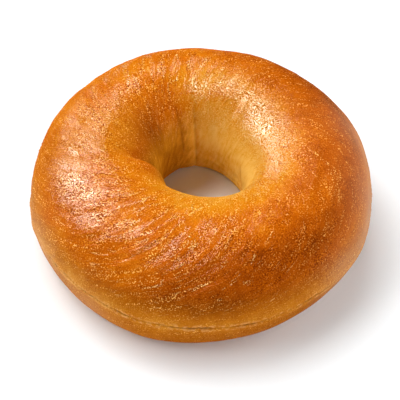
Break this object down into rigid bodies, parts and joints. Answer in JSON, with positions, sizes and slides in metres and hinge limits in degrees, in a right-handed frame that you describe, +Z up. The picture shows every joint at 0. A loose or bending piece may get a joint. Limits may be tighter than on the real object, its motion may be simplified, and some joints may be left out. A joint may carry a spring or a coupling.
{
  "type": "bagel",
  "caption": "Plain whole bagel: a glossy golden-brown ring of baked dough with a small round hole, resting on its flat base.",
  "frame": {"origin": "centre of the bounding box at the flat base the bagel rests on", "axes": "+Z up out of the hole, +X along the longest width, -Y towards the front, where the ring is fattest"},
  "size_m": [0.1072, 0.1038, 0.0387],
  "materials": {
    "crust": "glossy golden-brown baked crust, finely wrinkled"
  },
  "bodies": {
    "root": {"bagel": "crust"}
  },
  "joints": []
}
